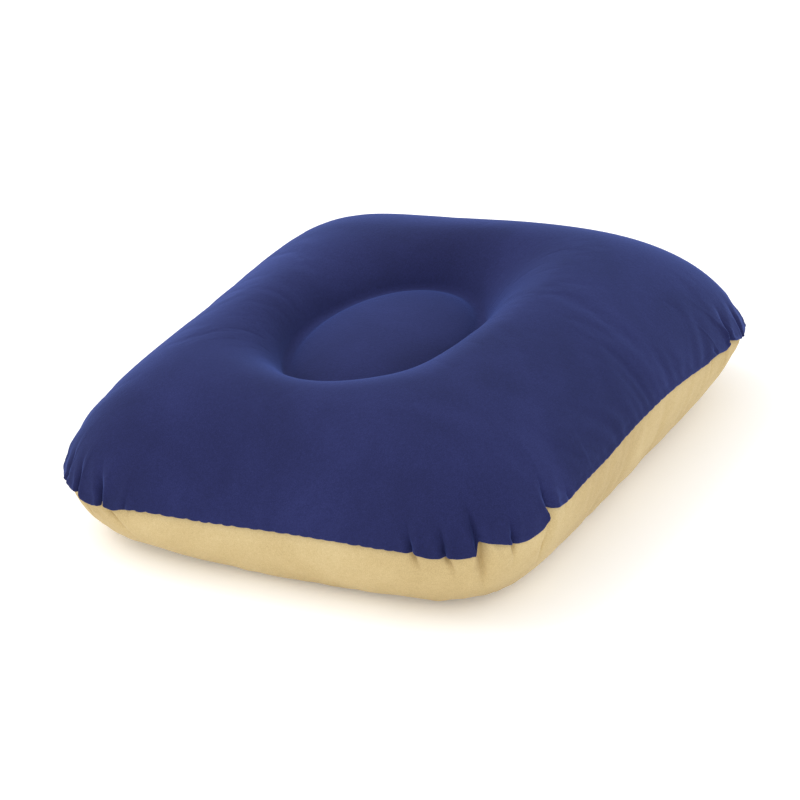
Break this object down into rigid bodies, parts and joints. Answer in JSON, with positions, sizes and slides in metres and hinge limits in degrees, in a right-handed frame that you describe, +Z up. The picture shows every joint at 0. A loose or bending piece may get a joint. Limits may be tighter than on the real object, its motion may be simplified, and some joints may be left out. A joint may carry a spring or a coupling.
{
  "type": "camp pillow",
  "caption": "Inflatable flocked camp pillow, dark blue over sand, with an oval welded well, a raised dome in it and a push-in air valve.",
  "frame": {"origin": "on the ground under the middle of the inflated cushion", "axes": "+Z up through the thickness, +X along the length towards the valve end, +Y across the width towards the side the oval well is nearer to"},
  "size_m": [0.4429, 0.3348, 0.1204],
  "materials": {
    "navy_flock": "matte",
    "sand_flock": "matte",
    "clear_film": "satin",
    "valve_vinyl": "satin",
    "plug_vinyl": "satin"
  },
  "bodies": {
    "cushion": {"top_panel": "navy_flock", "bottom_panel": "sand_flock", "centre_web": "clear_film", "valve_patch": "valve_vinyl", "valve_neck": "valve_vinyl"},
    "stem": {"valve_stem": "valve_vinyl", "plug_strap": "plug_vinyl"},
    "plug": {"valve_plug": "plug_vinyl"},
    "flap": {"check_flap": "valve_vinyl"}
  },
  "joints": [
    {"name": "stem_slide", "type": "slide", "parent": "cushion", "child": "stem", "axis": [0.9328, 0, -0.3604], "range_m": [0, 0.01], "deforming": ["valve_neck"]},
    {"name": "plug_pull", "type": "slide", "parent": "stem", "child": "plug", "axis": [0.9328, 0, -0.3604], "range_m": [0, 0.012], "deforming": ["plug_strap"]},
    {"name": "flap_swing", "type": "hinge", "parent": "stem", "child": "flap", "pos_m": [0.1998, 0, 0.02686], "axis": [0, -1, 0], "range_deg": [0, 50], "stiffness_Nm_per_rad": 0.0005}
  ]
}
